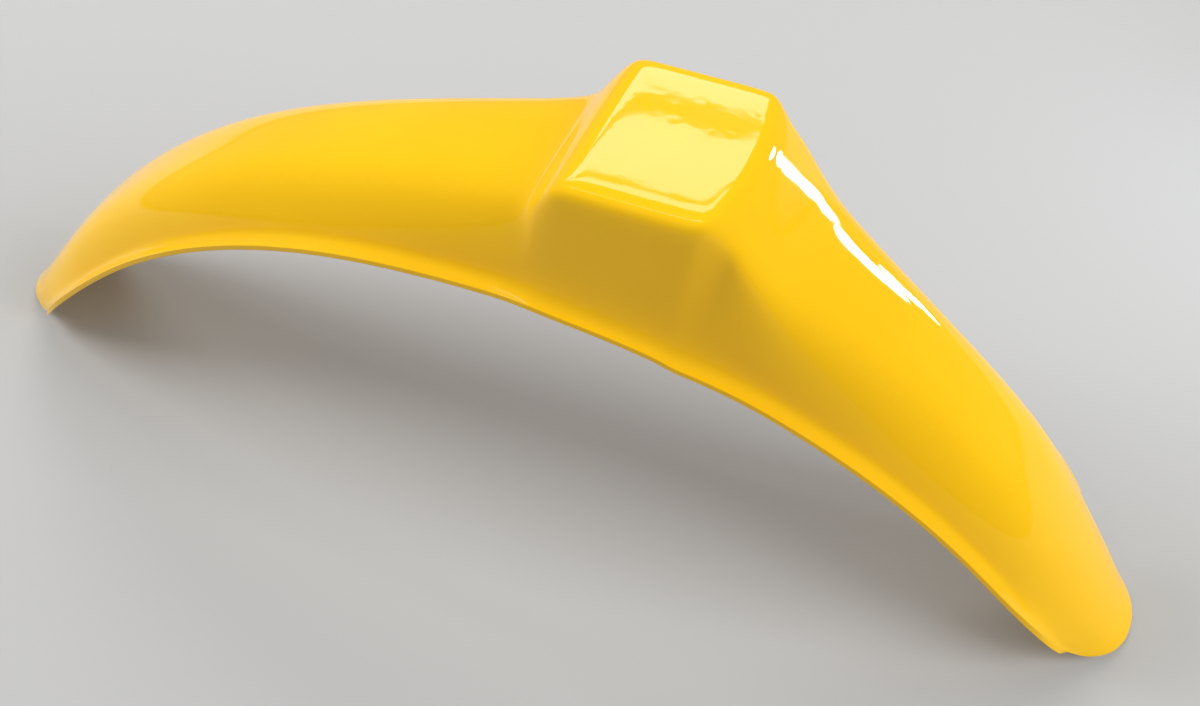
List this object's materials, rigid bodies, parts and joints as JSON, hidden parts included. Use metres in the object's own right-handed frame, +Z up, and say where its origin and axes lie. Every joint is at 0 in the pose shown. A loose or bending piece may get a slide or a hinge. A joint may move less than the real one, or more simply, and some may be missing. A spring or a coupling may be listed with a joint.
{
  "type": "motorcycle front mudguard",
  "caption": "Arched glass-fibre front mudguard with rounded tips, a turned-out lip all round and a raised box over the fork brace.",
  "frame": {"origin": "on the floor under the middle of the guard's bounding box, as it stands on its two tips", "axes": "+X along the guard, towards the tip nearer the raised block; +Y across it; +Z up, away from the wheel"},
  "size_m": [0.6612, 0.1234, 0.2393],
  "materials": {
    "gel_coat": "yellow gel coat, high gloss"
  },
  "bodies": {
    "root": {"mudguard": "gel_coat"}
  },
  "joints": []
}
